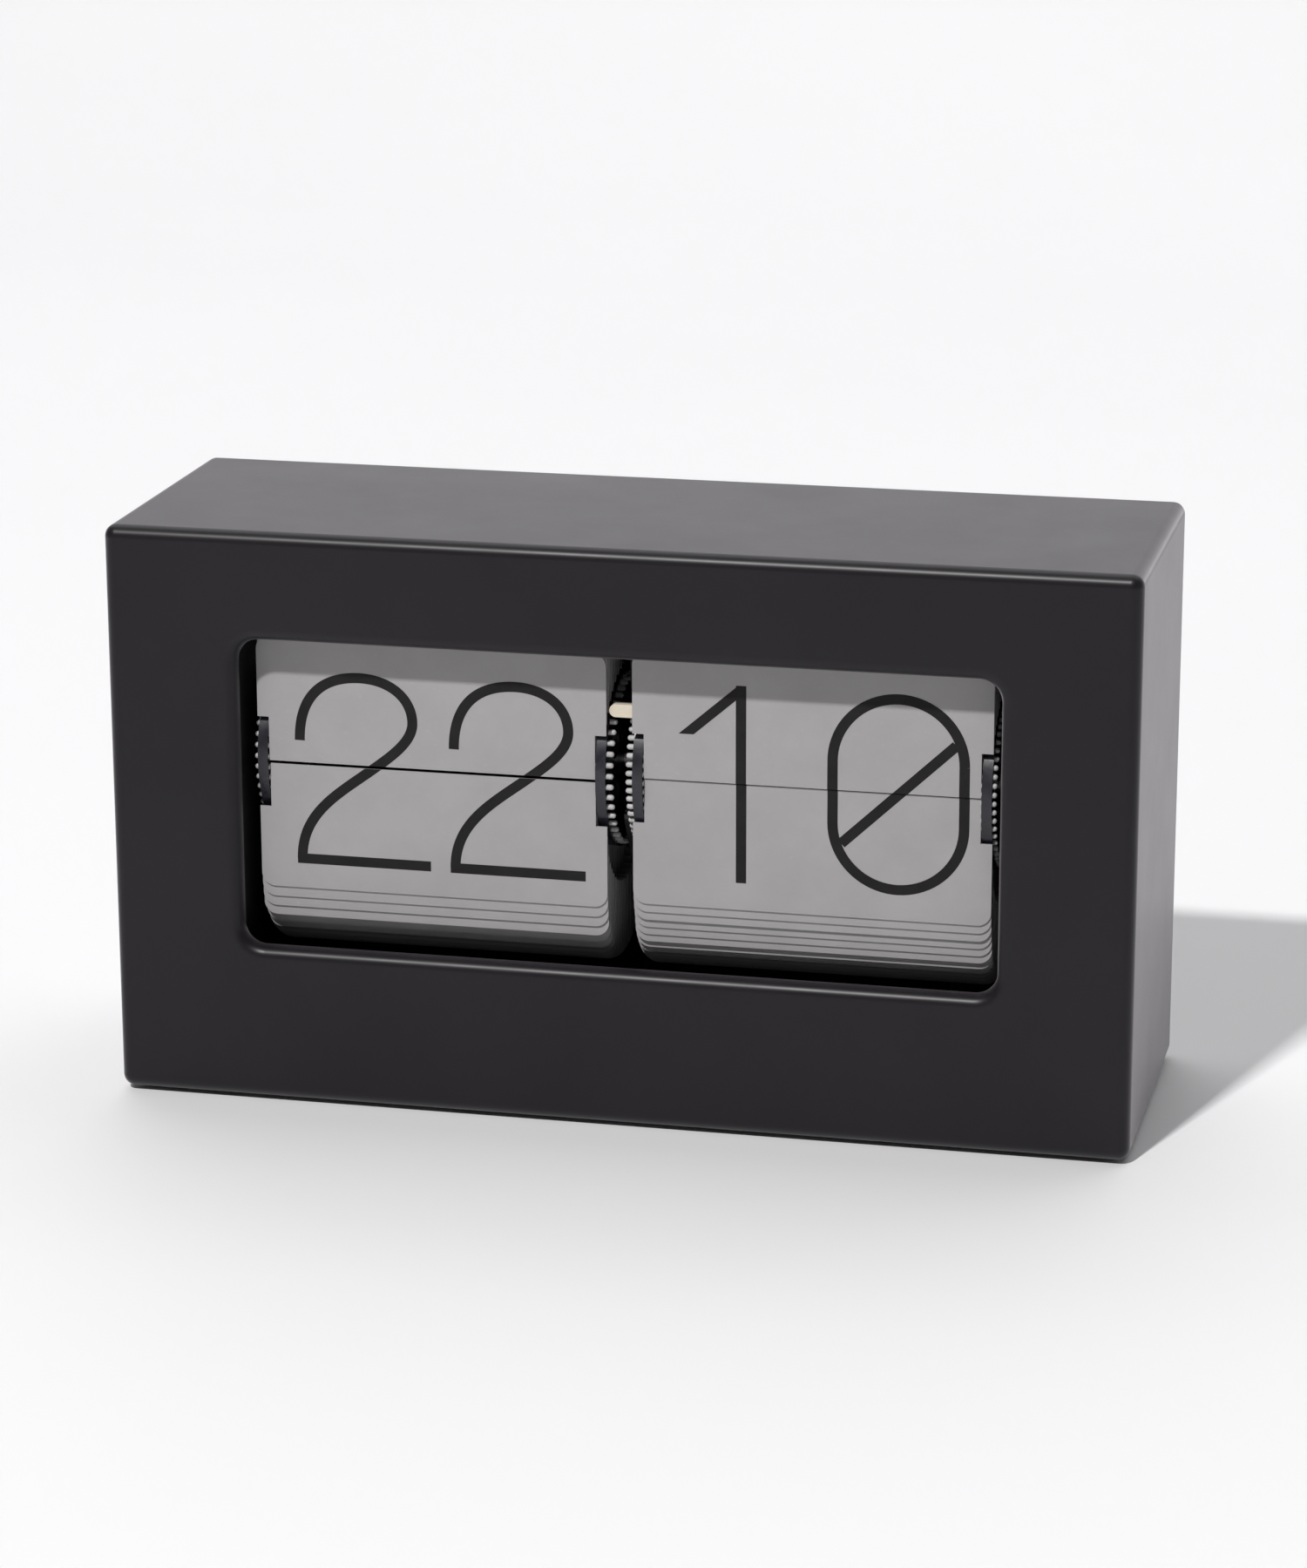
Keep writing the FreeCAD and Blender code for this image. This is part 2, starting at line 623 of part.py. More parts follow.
def motor_mount():
    """Two posts that hold the motor on the right side plate."""
    low_y, low_z = MOTOR_SPOT[0] + 6.5, MOTOR_SPOT[1] + 6.5
    spots = [(low_y + 8.0, low_z), (low_y, low_z + 8.0)]
    return group([rod(spot, MOTOR_POST_R, PLATE_OUT, MOTOR_X[0]) for spot in spots])


def motor_pinion():
    phase = meshed_phase(DRIVE_TEETH, 0.0, MOTOR_TEETH, MOTOR_ANGLE)
    pinion = gear(MOTOR_TEETH, phase, MOTOR_SPOT, DRIVE_X)
    return pinion.fuse(rod(MOTOR_SPOT, 0.75, DRIVE_X[0], 89.0))


def setting_axle():
    return rod(SETTING_SPOT, SHAFT_R, PLATE_OUT, 98.4)


def setting_wheel():
    phase = meshed_phase(DRIVE_TEETH, 0.0, SETTING_TEETH, SETTING_ANGLE)
    wheel = gear(SETTING_TEETH, phase, SETTING_SPOT, DRIVE_X)
    thumb = rod(SETTING_SPOT, THUMB_R, *THUMB_X)
    grooves = []
    for index in range(GROOVES):
        angle = 2 * math.pi * index / GROOVES
        spot = (SETTING_SPOT[0] + THUMB_R * math.cos(angle), SETTING_SPOT[1] + THUMB_R * math.sin(angle))
        grooves.append(rod(spot, GROOVE_R, THUMB_X[0] - 1, THUMB_X[1] + 1))
    thumb = thumb.cut(grooves)
    sleeve = rod(SETTING_SPOT, 2.6, DRIVE_X[0], THUMB_X[1])
    return wheel.fuse(sleeve).fuse(thumb).cut(rod(SETTING_SPOT, SHAFT_R + RUN, 79, 99))


# ---------------------------------------------------------------- electrics
def battery_cells():
    cells = []
    for start in (-CELL_LENGTH - CELL_GAP, CELL_GAP):
        shoulder = start + CELL_LENGTH - BUTTON
        can = rod((CELL_Y, CELL_Z), CELL_R, start, shoulder)
        button = rod((CELL_Y, CELL_Z), BUTTON_R, shoulder, shoulder + BUTTON)
        cells.append(can.fuse(button))
    return group(cells)


def contact_spring():
    """Battery contact spring, as one wound wire."""
    end = -CELL_LENGTH - 0.6
    start = -BAY_HALF + BAY_WALL + 0.7
    coil = Part.makeHelix(COIL_PITCH, end - start - 0.5, COIL_R)
    wire = Part.Wire(coil.Edges)
    section = Part.Wire(Part.makeCircle(WIRE_R, V(COIL_R, 0, 0), V(0, 1, 0)))
    spring = wire.makePipeShell([section], True, True)
    spring.rotate(V(0, 0, 0), V(0, 1, 0), 90)
    spring.translate(V(start + 0.2, CELL_Y, CELL_Z))
    return spring


def contact_plates():
    plates = []
    for side in (-1, 1):
        inner = side * (BAY_HALF - BAY_WALL)
        start, end = sorted((inner, inner - side * CONTACT_THICK))
        plates.append(block((start, CELL_Y - CONTACT_HALF[0], CELL_Z - CONTACT_HALF[1]),
                            (end, CELL_Y + CONTACT_HALF[0], CELL_Z + CONTACT_HALF[1])))
    nub = rod((CELL_Y, CELL_Z), 2.4, CELL_LENGTH + 0.6, BAY_HALF - BAY_WALL - CONTACT_THICK)
    plates[1] = plates[1].fuse(nub)
    return group(plates)


def circuit_board():
    return block((BOARD_OUT, -BOARD_HALF, BOARD_LOW), (BOARD_OUT + BOARD_THICK, BOARD_HALF, BOARD_TOP))


def board_posts():
    start = -PLATE_OUT - BOARD_STANDOFF
    return group([rod(spot, BOARD_POST_R, start, -PLATE_OUT) for spot in BOARD_POST_SPOTS])


def board_chip():
    return block((BOARD_OUT - CHIP_THICK, -4.0, 42.0), (BOARD_OUT, 4.0, 54.0))


def board_crystal():
    return rod(CRYSTAL_SPOT, CRYSTAL_R, BOARD_OUT - CRYSTAL_LONG, BOARD_OUT)


# ---------------------------------------------------------------- build
def nodes():
    """Name and shape of every sub-part."""
    parts = {
        "front_case": front_case(), "rear_cover": rear_cover(), "battery_box": battery_box(),
        "battery_door": battery_door(), "cover_screws": cover_screws(), "rubber_feet": rubber_feet(),
        "left_side_plate": side_plate(-1, BUSH_R), "right_side_plate": side_plate(1, TUBE_BUSH_R),
        "tie_bars": tie_bars(), "tie_screws": tie_screws(), "centre_bracket": centre_bracket(),
        "centre_bush": centre_bush(), "left_bush": left_bush(), "right_bush": right_bush(),
        "catch_rail": catch_rail(), "lever_pin": lever_pin(), "hour_trip_lever": trip_lever(),
        "trip_finger": trip_finger(),
        "minute_tube": minute_tube(), "hour_shaft": hour_shaft(), "shaft_clip": shaft_clip(),
        "drive_gear": drive_gear(), "minute_pinion": minute_pinion(), "motion_wheel": motion_wheel(),
        "motion_stud": motion_stud(), "hour_wheel": hour_wheel(), "motor_body": motor_body(),
        "motor_posts": motor_mount(), "motor_pinion": motor_pinion(), "setting_axle": setting_axle(),
        "setting_wheel": setting_wheel(), "battery_cells": battery_cells(),
        "contact_spring": contact_spring(), "contact_plates": contact_plates(),
        "circuit_board": circuit_board(), "board_posts": board_posts(), "board_chip": board_chip(),
        "board_crystal": board_crystal(),
    }
    for name, reel, bore in (("hour", HOUR, SHAFT_R), ("minute", MINUTE, TUBE_R)):
        lug = LUG_ANGLE if name == "minute" else None
        parts[name + "_outer_disc"] = disc(reel, reel["side"], bore)
        parts[name + "_inner_disc"] = disc(reel, -reel["side"], bore, lug)
        parts[name + "_drum"] = drum(reel, bore)
        parts[name + "_flap_pins"] = flap_pins(reel)
        parts[name + "_falling_flap"] = flap(reel, reel["first"], 0.0, root=FLAP_ROOT)
        standing = standing_flaps(reel)
        hanging = hanging_flaps(reel)
        parts[name + "_next_flap"] = standing[0]
        parts[name + "_standing_flaps"] = group(standing[1:])
        parts[name + "_front_flap"] = hanging[0]
        parts[name + "_hanging_flaps"] = group(hanging[1:])
        parts[name + "_flap_catch"] = leaf(reel)
    return parts


os.makedirs("parts", exist_ok=True)
for node, shape in nodes().items():
    if not shape.isValid():
        print("not valid:", node)
    shape.exportStep("parts/" + node + ".step")
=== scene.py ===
"""Looks for the flip number clock: finishes, printed digits, light and camera."""
import bpy
import bmesh
import json
import math
from mathutils import Matrix, Vector


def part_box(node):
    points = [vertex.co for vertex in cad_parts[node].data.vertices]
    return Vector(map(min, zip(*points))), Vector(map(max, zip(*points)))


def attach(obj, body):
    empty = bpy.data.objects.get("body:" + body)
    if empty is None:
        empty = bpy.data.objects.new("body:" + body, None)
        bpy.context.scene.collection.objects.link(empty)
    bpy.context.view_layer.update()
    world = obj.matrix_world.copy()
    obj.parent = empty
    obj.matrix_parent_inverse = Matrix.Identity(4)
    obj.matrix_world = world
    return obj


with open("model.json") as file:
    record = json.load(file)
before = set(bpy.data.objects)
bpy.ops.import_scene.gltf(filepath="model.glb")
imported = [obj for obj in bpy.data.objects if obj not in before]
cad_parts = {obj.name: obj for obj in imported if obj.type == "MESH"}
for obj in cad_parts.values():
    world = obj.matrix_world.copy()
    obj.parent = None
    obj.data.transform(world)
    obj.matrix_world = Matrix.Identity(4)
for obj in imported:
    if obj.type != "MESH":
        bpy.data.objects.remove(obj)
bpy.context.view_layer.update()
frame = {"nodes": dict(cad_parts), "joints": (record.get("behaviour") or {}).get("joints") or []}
NODES = frame["nodes"]
JOINTS = {joint["name"]: joint for joint in frame["joints"]}
MM = 0.001

# Digits, in millimetres: stroke width, the height of their foot over the reel axis, and each digit's place
# from its reel's centre. PRINT is the ink's thickness in metres, and grows by PRINT_STEP of itself for each
# later stroke of a figure.
STROKE = 2.06
PRINT = 0.02 * MM
PRINT_STEP = 0.25
DIGIT_FOOT = -19.6
HOUR_PLACES = (-15.25, 16.4)
MINUTE_TENS = -13.92
MINUTE_ONES = 17.13
FLAP_COUNT = {"hour": 48, "minute": 60}

# Stage and light, in metres, watts and degrees.
FLOOR_HALF = 4.0
FLOOR_NEAR = -3.0
FLOOR_FAR = 1.6
FLOOR_BEND = 0.7
FLOOR_TOP = 3.5
KEY_DISTANCE = 4.2
KEY_AZIMUTH = math.radians(15)
KEY_HEIGHT = math.radians(50)
KEY_AIM = (0, 0, 0.06)
KEY_SIZE = (0.2, 0.2)
KEY_WATTS = 150.0
KEY_TINT = (1.0, 0.985, 0.98)
OVERHEAD_SPOT = (0.0, 1.3, 2.2)
OVERHEAD_AIM = (0.0, 1.3, 0.0)
OVERHEAD_SIZE = (3.2, 2.4)
OVERHEAD_WATTS = 35.5
WORLD_TINT = (0.97, 0.98, 1.0, 1.0)
WORLD_STRENGTH = 0.12

CAMERA_SPOT = (0.20446, -0.88722, 0.32268)
CAMERA_YAW = math.radians(12.938)
CAMERA_PITCH = math.radians(16.007)
CAMERA_ROLL = math.radians(-0.15)
CAMERA_LENS = 107.96
CAMERA_SENSOR = 36.0


# ---------------------------------------------------------------- node helpers
class Finish:
    """A material whose colour, roughness and grain come from procedural nodes."""

    def __init__(self, name):
        self.material = bpy.data.materials.new(name)
        self.material.use_nodes = True
        self.tree = self.material.node_tree
        self.shader = self.tree.nodes["Principled BSDF"]
        coords = self.tree.nodes.new("ShaderNodeTexCoord")
        self.place = coords.outputs["Object"]

    def node(self, kind, inputs=(), **settings):
        made = self.tree.nodes.new(kind)
        for key, value in settings.items():
            setattr(made, key, value)
        for socket, value in dict(inputs).items():
            if isinstance(value, bpy.types.NodeSocket):
                self.tree.links.new(value, made.inputs[socket])
            else:
                made.inputs[socket].default_value = value
        return made

    def stretched(self, scale):
        """Object coordinates scaled along each axis."""
        return self.node("ShaderNodeMapping", {"Vector": self.place, "Scale": scale}).outputs["Vector"]

    def noise(self, scale, detail=4.0, rough=0.5, place=None):
        """Noise field; scale is in features per metre."""
        inputs = {"Vector": place or self.place, "Scale": scale, "Detail": detail, "Roughness": rough}
        return self.node("ShaderNodeTexNoise", inputs).outputs["Fac"]

    def ramp(self, value, low, high, start=0.3, end=0.7):
        """Spreads a value between two colours."""
        made = self.node("ShaderNodeValToRGB", {"Fac": value})
        for stop, (spot, colour) in zip(made.color_ramp.elements, ((start, low), (end, high))):
            stop.position = spot
            stop.color = (*colour, 1.0)
        return made.outputs["Color"]

    def range(self, value, low, high, start=0.3, end=0.7):
        """Spreads a value between two numbers."""
        inputs = {"Value": value, "From Min": start, "From Max": end, "To Min": low, "To Max": high}
        return self.node("ShaderNodeMapRange", inputs).outputs["Result"]

    def mix(self, factor, first, second):
        """Colour mix; a Mix node keeps its factor in socket 0, its colours in 6 and 7, and gives out 2."""
        colours = [c if isinstance(c, bpy.types.NodeSocket) else (*c, 1.0) for c in (first, second)]
        made = self.node("ShaderNodeMix", {0: factor, 6: colours[0], 7: colours[1]}, data_type="RGBA")
        return made.outputs[2]

    def set(self, socket, value):
        """Sets or links one input of the shader."""
        if isinstance(value, bpy.types.NodeSocket):
            self.tree.links.new(value, self.shader.inputs[socket])
        else:
            self.shader.inputs[socket].default_value = value

    def bump(self, height, strength, distance):
        inputs = {"Height": height, "Strength": strength, "Distance": distance}
        self.set("Normal", self.node("ShaderNodeBump", inputs).outputs["Normal"])


def moulded(name, low, high, rough, grain, grain_depth, blotch=40.0, ior=1.5):
    """Moulded or rolled surface: soft colour drift, uneven gloss and a fine grain."""
    finish = Finish(name)
    drift = finish.noise(blotch, 5.0, 0.6)
    finish.set("Base Color", finish.ramp(drift, low, high))
    finish.set("Roughness", finish.range(finish.noise(blotch * 2.5, 3.0), *rough))
    finish.set("IOR", ior)
    finish.bump(finish.noise(grain, 2.0), grain_depth, 0.05 * MM)
    return finish.material


# ---------------------------------------------------------------- finishes
def case_black():
    """Soft matte black paint: colour drift, patches of uneven gloss and a fine spray grain."""
    finish = Finish("case_black")
    finish.set("Base Color", finish.ramp(finish.noise(26.0, 6.0, 0.62),
                                         (0.0062, 0.0048, 0.0068), (0.0090, 0.0073, 0.0096)))
    finish.set("Roughness", finish.range(finish.noise(60.0, 5.0, 0.6), 0.34, 0.39))
    finish.set("IOR", 1.34)
    finish.set("Sheen Weight", 0.48)
    finish.set("Sheen Tint", (1.0, 0.95, 1.0, 1.0))
    finish.set("Sheen Roughness", 0.35)
    finish.bump(finish.noise(2600.0, 2.0, 0.6), 0.10, 0.03 * MM)
    return finish.material


def flap_grey():
    """Matte grey sheet with a faint rolled grain and soft dust."""
    finish = Finish("flap_grey")
    fine = finish.noise(90.0, 5.0, 0.6)
    dust = finish.range(finish.noise(900.0, 3.0, 0.5), 0.0, 0.25, 0.62, 0.8)
    base = finish.ramp(fine, (0.330, 0.322, 0.325), (0.358, 0.350, 0.353))
    finish.set("Base Color", finish.mix(dust, base, (0.42, 0.415, 0.415)))
    finish.set("Roughness", finish.range(finish.noise(140.0, 4.0), 0.50, 0.62))
    finish.set("IOR", 1.38)
    finish.bump(finish.noise(1.0, 3.0, 0.6, finish.stretched((400.0, 400.0, 2600.0))), 0.08, 0.02 * MM)
    return finish.material


def ink():
    """Dark matte printing ink."""
    return moulded("digit_ink", (0.009, 0.008, 0.009), (0.014, 0.013, 0.014), (0.52, 0.64),
                   3000.0, 0.10, 120.0, ior=1.28)


def pivot_grey():
    """The flaps' own sheet at its pivot ends, in a paler grey than the flaps."""
    return moulded("pivot_grey", (0.40, 0.395, 0.39), (0.50, 0.49, 0.485), (0.42, 0.55),
                   2200.0, 0.2, 200.0)


def reel_black():
    """Satin black moulding with a faint blue cast."""
    return moulded("reel_black", (0.010, 0.010, 0.015), (0.019, 0.019, 0.027), (0.24, 0.40),
                   1500.0, 0.25, 160.0)


def plate_black():
    """Plain black moulding of the chassis."""
    return moulded("plate_black", (0.010, 0.010, 0.011), (0.018, 0.018, 0.020), (0.45, 0.6),
                   1800.0, 0.3, 60.0)


def acetal():
    """Natural cream acetal, which lets a little light in."""
    material = moulded("acetal", (0.62, 0.55, 0.44), (0.72, 0.65, 0.53), (0.34, 0.46), 1400.0, 0.15, 120.0)
    shader = material.node_tree.nodes["Principled BSDF"]
    shader.inputs["Subsurface Weight"].default_value = 0.08
    shader.inputs["Subsurface Radius"].default_value = (1.2 * MM, 0.9 * MM, 0.6 * MM)
    return material


def steel(name, tone, grain):
    """Drawn or turned steel: streaks along X with light pitting."""
    finish = Finish(name)
    streaks = finish.noise(1.0, 4.0, 0.6, finish.stretched(grain))
    dark = tuple(0.8 * c for c in tone)
    finish.set("Base Color", finish.ramp(streaks, dark, tone))
    finish.set("Metallic", 1.0)
    finish.set("Roughness", finish.range(finish.noise(420.0, 4.0), 0.24, 0.42))
    finish.bump(streaks, 0.15, 0.02 * MM)
    return finish.material


def banded(name, colours, edges_mm, rough):
    """Cell sleeves printed in plain bands along X; each edge starts the next colour."""
    finish = Finish(name)
    split = finish.node("ShaderNodeSeparateXYZ", {"Vector": finish.place}).outputs["X"]
    shade = finish.ramp(finish.noise(80.0), colours[0], tuple(1.15 * c for c in colours[0]))
    for edge, tint in zip(edges_mm, colours[1:]):
        past = finish.node("ShaderNodeMath", {0: split, 1: edge * MM}, operation="GREATER_THAN").outputs[0]
        shade = finish.mix(past, shade, tint)
    finish.set("Base Color", shade)
    finish.set("Roughness", finish.range(finish.noise(300.0), *rough))
    finish.bump(finish.noise(700.0), 0.1, 0.02 * MM)
    return finish.material


def board_green():
    """Solder mask with a fine pattern of tracks under it."""
    finish = Finish("board_green")
    tracks = finish.node("ShaderNodeTexBrick", {"Vector": finish.stretched((0.0, 1.0, 1.0)), "Scale": 160.0,
                                                "Mortar Size": 0.06}).outputs["Fac"]
    finish.set("Base Color", finish.mix(tracks, (0.012, 0.09, 0.035), (0.03, 0.19, 0.07)))
    finish.set("Roughness", finish.range(finish.noise(500.0), 0.22, 0.34))
    finish.bump(tracks, 0.3, 0.03 * MM)
    return finish.material


CASE = case_black()
FLAP = flap_grey()
INK = ink()
PIVOT = pivot_grey()
REEL = reel_black()
PLATE = plate_black()
ACETAL = acetal()
BRIGHT = steel("bright_steel", (0.62, 0.62, 0.64), (60.0, 2600.0, 2600.0))
DARK_STEEL = steel("blackened_steel", (0.16, 0.16, 0.17), (900.0, 900.0, 900.0))
BRONZE = steel("bronze_bush", (0.60, 0.40, 0.22), (900.0, 900.0, 900.0))
RUBBER = moulded("foot_rubber", (0.012, 0.012, 0.012), (0.022, 0.022, 0.022), (0.75, 0.9), 1600.0, 0.5)
KNURL = moulded("setting_black", (0.018, 0.018, 0.020), (0.030, 0.030, 0.033), (0.38, 0.5), 1700.0, 0.3)
NYLON = moulded("motor_nylon", (0.50, 0.49, 0.46), (0.60, 0.59, 0.55), (0.45, 0.6), 1500.0, 0.2, 60.0)
CHIP = moulded("chip_black", (0.012, 0.012, 0.013), (0.022, 0.022, 0.023), (0.5, 0.65), 3500.0, 0.4)
BOARD = board_green()

FINISHES = {
    CASE: ("front_case", "rear_cover", "battery_door", "battery_box"),
    REEL: ("hour_outer_disc", "hour_inner_disc", "minute_outer_disc", "minute_inner_disc"),
    PLATE: ("hour_trip_lever", "hour_drum", "minute_drum", "left_side_plate", "right_side_plate",
            "centre_bracket"),
    PIVOT: ("hour_flap_pins", "minute_flap_pins"),
    ACETAL: ("trip_finger", "drive_gear", "minute_pinion", "motion_wheel", "hour_wheel", "motor_pinion"),
    BRIGHT: ("cover_screws", "tie_bars", "tie_screws", "lever_pin", "minute_tube", "hour_shaft",
             "shaft_clip", "motion_stud", "setting_axle", "motor_posts", "board_posts", "contact_spring",
             "contact_plates", "board_crystal"),
    DARK_STEEL: ("catch_rail", "hour_flap_catch", "minute_flap_catch"),
    BRONZE: ("centre_bush", "left_bush", "right_bush"),
    RUBBER: ("rubber_feet",),
    KNURL: ("setting_wheel",),
    NYLON: ("motor_body",),
    CHIP: ("board_chip",),
    BOARD: ("circuit_board",),
}


def paint(obj, material):
    obj.data.materials.clear()
    obj.data.materials.append(material)


def finish_nodes():
    """Gives every node of the frame its finish."""
    for material, names in FINISHES.items():
        for name in names:
            paint(NODES[name], material)
    for name, obj in NODES.items():
        if name.endswith("_flap") or name.endswith("_flaps"):
            paint(obj, FLAP)
    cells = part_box("battery_cells")
    middle = (cells[0].x + cells[1].x) / 2 / MM
    dark, copper, metal = (0.02, 0.022, 0.026), (0.48, 0.24, 0.10), (0.62, 0.62, 0.62)
    edges = [middle + edge for edge in (-49.6, -14.0, -2.0, 1.2, 36.4)]
    sleeve = banded("cell_sleeve", (metal, dark, copper, metal, dark, copper), edges, (0.22, 0.32))
    paint(NODES["battery_cells"], sleeve)


finish_nodes()


# ---------------------------------------------------------------- digits
def bezier(start, out, back, end, steps=28):
    """Points of one cubic curve, each an (x, z) pair."""
    spots = []
    for index in range(steps + 1):
        t = index / steps
        u = 1 - t
        weights = (u ** 3, 3 * u * u * t, 3 * u * t * t, t ** 3)
        spots.append(tuple(sum(w * p[k] for w, p in zip(weights, (start, out, back, end))) for k in (0, 1)))
    return spots


def arc(centre, radius, start, end, steps=40):
    """Points of a round arc between two angles in degrees."""
    spots = []
    for index in range(steps + 1):
        angle = math.radians(start + (end - start) * index / steps)
        spots.append((centre[0] + radius * math.cos(angle), centre[1] + radius * math.sin(angle)))
    return spots


def ribbon(line, width):
    """Four-cornered pieces of a stroke drawn along a line of points, with square ends."""
    left, right = [], []
    for index, (x, z) in enumerate(line):
        before = line[max(index - 1, 0)]
        after = line[min(index + 1, len(line) - 1)]
        run = math.hypot(after[0] - before[0], after[1] - before[1])
        side = (-(after[1] - before[1]) / run * width / 2, (after[0] - before[0]) / run * width / 2)
        left.append((x + side[0], z + side[1]))
        right.append((x - side[0], z - side[1]))
    return [(left[i], left[i + 1], right[i + 1], right[i]) for i in range(len(line) - 1)]


def two():
    """Figure 2: a hook of four curves on a straight foot.

    Every figure is centred near X 0, with Z from the digits' foot upwards, in millimetres.
    """
    left, top, right, foot = -11.7, 37.3, 11.55, -0.7
    crown, shoulder, waist, heel = (0.8, top), (right, 28.7), (2.7, 18.3), (-11.8, foot)
    line = bezier((left, 23.9), (left, 33.2), (-6.6, top), crown)
    line += bezier(crown, (7.2, top), (right, 33.7), shoulder)[1:]
    line += bezier(shoulder, (right, 24.7), (6.65, 21.35), waist)[1:]
    line += bezier(waist, (-4.4, 13.0), (heel[0], 8.6), heel)[1:]
    base = [(-12.8, foot), (14.8, foot)]
    return ribbon(line, STROKE), ribbon(base, STROKE)


def one():
    """Figure 1: a stem with a straight flag."""
    top, inner = (0.0, 40.05), (-9.4, 29.8)
    flag = [(top, (-0.6, top[1]), (-12.4, inner[1]), inner), (top, inner, (0.0, 37.95))]
    return ribbon([(0.0, 0.0), top], STROKE), flag


def nought():
    """Figure 0: a stadium with a slanting stroke."""
    radius, low, high = 12.93, 13.6, 26.2
    line = arc((0, high), radius, 0, 180) + arc((0, low), radius, 180, 360) + [(radius, high)]
    slash = [(-11.2, 9.4), (11.25, 30.5)]
    return ribbon(line, STROKE), ribbon(slash, STROKE)


def stroke_mesh(quads, cut_z, upper, height):
    """One closed stroke of ink, drawn on the plane Y 0 and raised towards the front."""
    mesh = bmesh.new()
    for quad in quads:
        mesh.faces.new([mesh.verts.new((x, 0.0, z)) for x, z in quad])
    bmesh.ops.remove_doubles(mesh, verts=mesh.verts[:], dist=1e-6)
    geometry = mesh.verts[:] + mesh.edges[:] + mesh.faces[:]
    bmesh.ops.bisect_plane(mesh, geom=geometry, dist=1e-7, plane_co=(0, 0, cut_z), plane_no=(0, 0, 1),
                           clear_inner=upper, clear_outer=not upper)
    if mesh.faces:
        layer = bmesh.ops.extrude_face_region(mesh, geom=mesh.faces[:])
        raised = [v for v in layer["geom"] if isinstance(v, bmesh.types.BMVert)]
        bmesh.ops.translate(mesh, verts=raised, vec=(0, -height, 0))
        bmesh.ops.recalc_face_normals(mesh, faces=mesh.faces[:])
    data = bpy.data.meshes.new("stroke")
    mesh.to_mesh(data)
    mesh.free()
    return data


def print_digits(name, figures, centre, cut_z, upper, place, body):
    """Prints half a number on one flap.

    The figures are drawn upright as they are read, from the reel's centre and axis height, and kept above
    cut_z (upper) or below it. place then carries the print from there to its flap at rest. Each next stroke
    of a figure lies a hair higher, so strokes that cross never share a face.
    """
    mesh = bmesh.new()
    for strokes, shift in figures:
        for order, quads in enumerate(strokes):
            placed = [[(centre.x + (x + shift) * MM, centre.z + (z + DIGIT_FOOT) * MM) for x, z in quad]
                      for quad in quads]
            stroke = stroke_mesh(placed, cut_z, upper, PRINT * (1 + PRINT_STEP * order))
            mesh.from_mesh(stroke)
            bpy.data.meshes.remove(stroke)
    data = bpy.data.meshes.new(name)
    mesh.to_mesh(data)
    mesh.free()
    data.transform(place)
    data.materials.append(INK)
    obj = bpy.data.objects.new(name, data)
    bpy.context.scene.collection.objects.link(obj)
    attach(obj, body)


def number_set(reel, now, coming):
    """All printed halves of one reel: the number shown, and the next one waiting behind it."""
    falling, front, following = (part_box(reel + tail)
                                 for tail in ("_falling_flap", "_front_flap", "_next_flap"))
    pivot = Vector(JOINTS[reel + "_flap_fall"]["pos_m"])
    axis = Vector(JOINTS[reel + "_reel_turn"]["pos_m"])
    centre = Vector(((front[0].x + front[1].x) / 2, 0.0, axis.z))
    step = 2 * math.pi / FLAP_COUNT[reel]
    on_falling = Matrix.Translation((0, falling[0].y, 0))
    print_digits(reel + "_upper_print", now, centre, falling[0].z, True, on_falling, reel + "_flap")
    on_front = Matrix.Translation((0, front[0].y, 0))
    print_digits(reel + "_lower_print", now, centre, front[1].z, False, on_front, "chassis")
    # The falling flap's back carries the lower half of the coming number. Once fallen it hangs one step of
    # the reel higher than the flap now in front, so its print is drawn hanging there and swung up with it.
    fallen_pivot = axis + Matrix.Rotation(step, 3, "X") @ (pivot - axis)
    swing = Matrix.Translation(pivot) @ Matrix.Rotation(math.pi, 4, "X") @ Matrix.Translation(-pivot)
    on_back = swing @ Matrix.Translation((0, falling[0].y, pivot.z - fallen_pivot.z))
    print_digits(reel + "_back_print", coming, centre, front[1].z, False, on_back, reel + "_flap")
    # The flap behind leans back a little, and shows the upper half once the one in front has fallen.
    thick = falling[1].y - falling[0].y
    reach = falling[1].z - pivot.z
    lean = math.asin((following[1].y - following[0].y - thick) / reach)
    root = Vector((0, following[0].y, following[0].z + thick * math.sin(lean)))
    on_next = Matrix.Translation(root) @ Matrix.Rotation(-lean, 4, "X") @ Matrix.Translation((0, 0, -pivot.z))
    print_digits(reel + "_next_print", coming, centre, pivot.z, True, on_next, "chassis")


hours = [(two(), place) for place in HOUR_PLACES]
number_set("hour", hours, hours)
tens = (one(), MINUTE_TENS)
number_set("minute", [tens, (nought(), MINUTE_ONES)], [tens, (one(), MINUTE_ONES)])


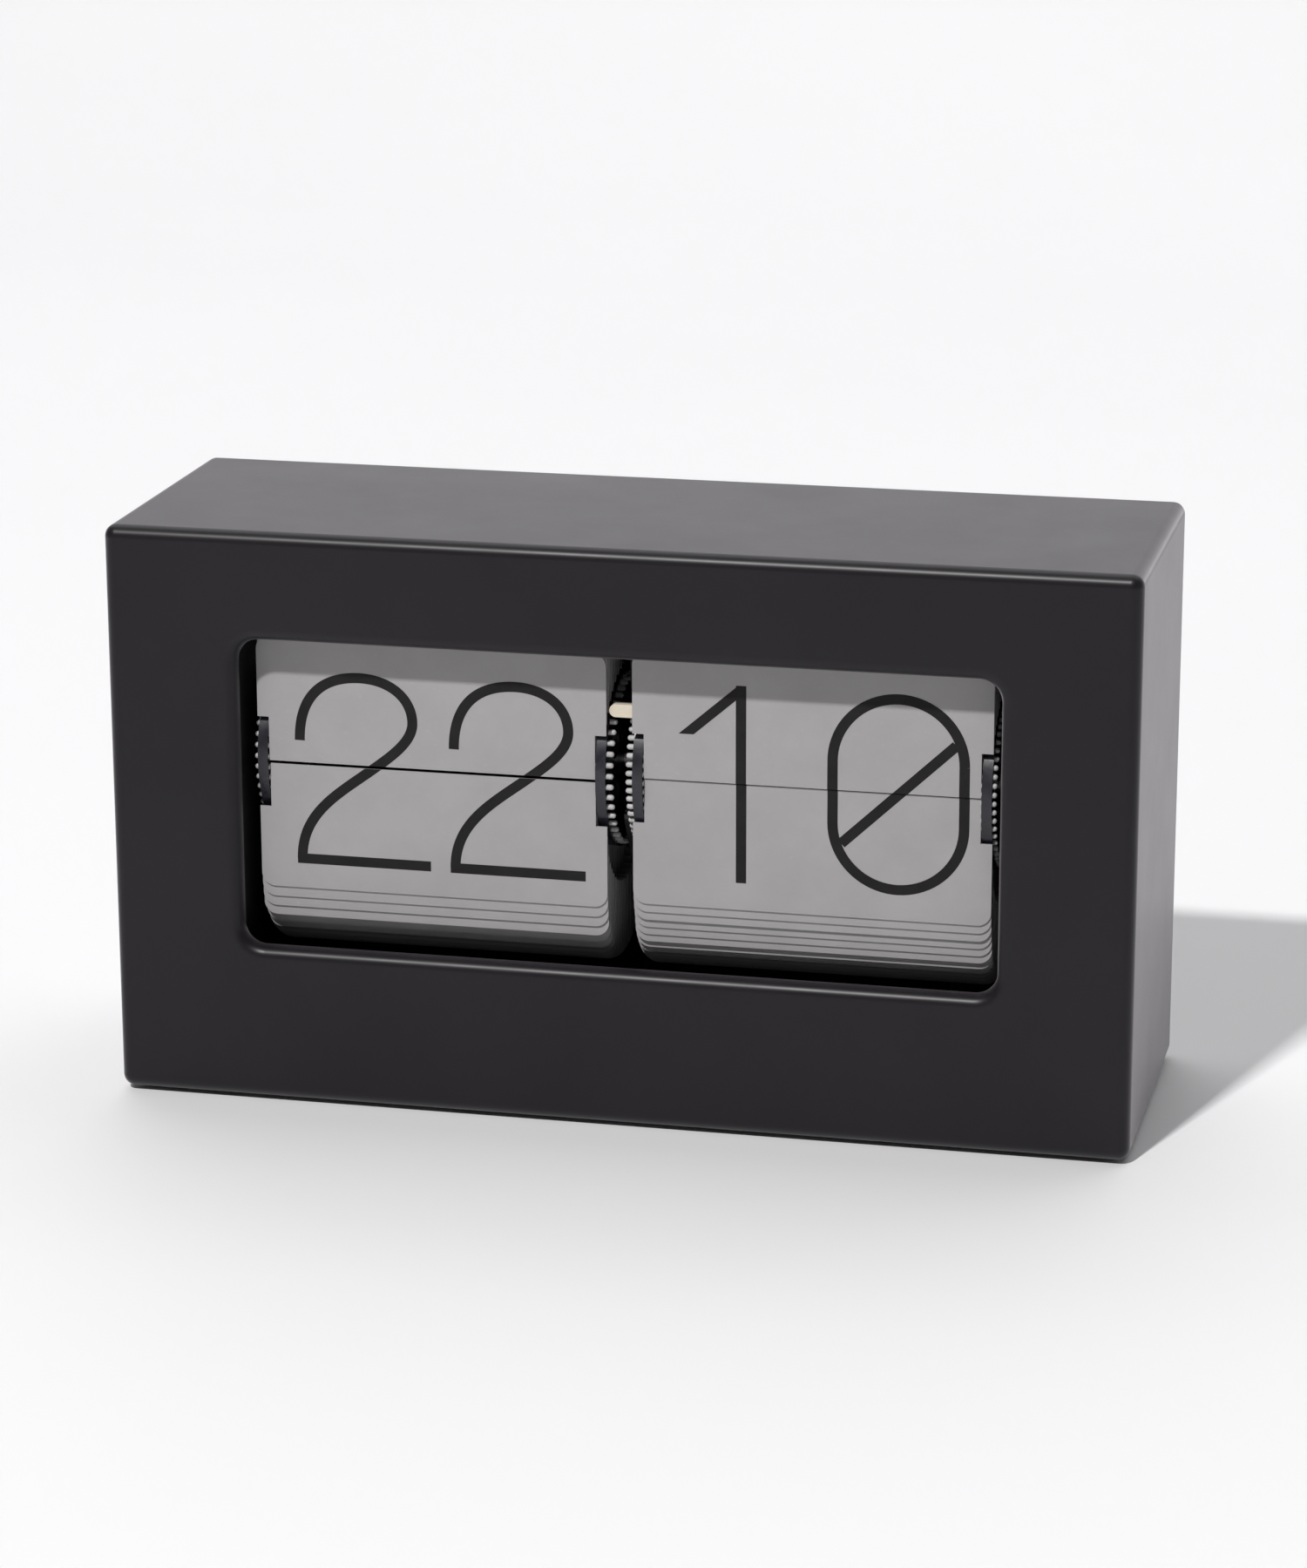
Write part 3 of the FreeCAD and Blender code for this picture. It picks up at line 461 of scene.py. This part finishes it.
# ---------------------------------------------------------------- stage, light and camera
def stage():
    """Seamless pale floor that curves up into a backdrop."""
    finish = Finish("stage_white")
    finish.set("Base Color", finish.ramp(finish.noise(1.5), (0.78, 0.78, 0.79), (0.81, 0.81, 0.82)))
    finish.set("Roughness", 0.6)
    mesh = bmesh.new()
    bend_start = FLOOR_FAR - FLOOR_BEND
    profile = [(FLOOR_NEAR, 0.0), (bend_start, 0.0)]
    for step in range(1, 11):
        angle = math.radians(9 * step)
        profile.append((bend_start + FLOOR_BEND * math.sin(angle), FLOOR_BEND - FLOOR_BEND * math.cos(angle)))
    profile.append((FLOOR_FAR, FLOOR_TOP))
    rows = [[mesh.verts.new((x, y, z)) for x in (-FLOOR_HALF, FLOOR_HALF)] for y, z in profile]
    for low, high in zip(rows, rows[1:]):
        face = mesh.faces.new((low[0], low[1], high[1], high[0]))
        face.smooth = True
    data = bpy.data.meshes.new("studio_floor")
    mesh.to_mesh(data)
    mesh.free()
    floor = bpy.data.objects.new("studio_floor", data)
    floor.data.materials.append(finish.material)
    bpy.context.scene.collection.objects.link(floor)


def area_light(name, spot, aim, size, watts, tint=(1.0, 1.0, 1.0)):
    """Rectangular lamp at a spot, turned towards its aim."""
    data = bpy.data.lights.new(name, "AREA")
    data.shape = "RECTANGLE"
    data.size, data.size_y = size
    data.energy = watts
    data.color = tint
    light = bpy.data.objects.new(name, data)
    light.location = spot
    light.rotation_euler = (Vector(aim) - Vector(spot)).to_track_quat("-Z", "Y").to_euler()
    bpy.context.scene.collection.objects.link(light)


def lights():
    """A small hard key high at the front left, a wide soft lamp over the backdrop, and a faint sky."""
    world = bpy.data.worlds.new("studio")
    world.use_nodes = True
    background = world.node_tree.nodes["Background"]
    background.inputs["Color"].default_value = WORLD_TINT
    background.inputs["Strength"].default_value = WORLD_STRENGTH
    bpy.context.scene.world = world
    away = KEY_DISTANCE * math.cos(KEY_HEIGHT)
    spot = (-away * math.sin(KEY_AZIMUTH), -away * math.cos(KEY_AZIMUTH), KEY_DISTANCE * math.sin(KEY_HEIGHT))
    area_light("key", spot, KEY_AIM, KEY_SIZE, KEY_WATTS, KEY_TINT)
    area_light("overhead", OVERHEAD_SPOT, OVERHEAD_AIM, OVERHEAD_SIZE, OVERHEAD_WATTS)


def camera():
    """The viewpoint: right of centre, above the clock, looking down and to the left."""
    level = math.cos(CAMERA_PITCH)
    look = Vector((-math.sin(CAMERA_YAW) * level, math.cos(CAMERA_YAW) * level, -math.sin(CAMERA_PITCH)))
    flat_right = Vector((math.cos(CAMERA_YAW), math.sin(CAMERA_YAW), 0.0))
    flat_up = flat_right.cross(look)
    right = math.cos(CAMERA_ROLL) * flat_right + math.sin(CAMERA_ROLL) * flat_up
    up = -math.sin(CAMERA_ROLL) * flat_right + math.cos(CAMERA_ROLL) * flat_up
    data = bpy.data.cameras.new("view")
    data.lens = CAMERA_LENS
    data.sensor_width = CAMERA_SENSOR
    data.clip_start = 0.05
    obj = bpy.data.objects.new("view", data)
    turn = Matrix((right, up, -look)).transposed().to_4x4()
    obj.matrix_world = Matrix.Translation(CAMERA_SPOT) @ turn
    bpy.context.scene.collection.objects.link(obj)
    bpy.context.scene.camera = obj


stage()
lights()
camera()
bpy.context.scene.view_settings.view_transform = "Standard"
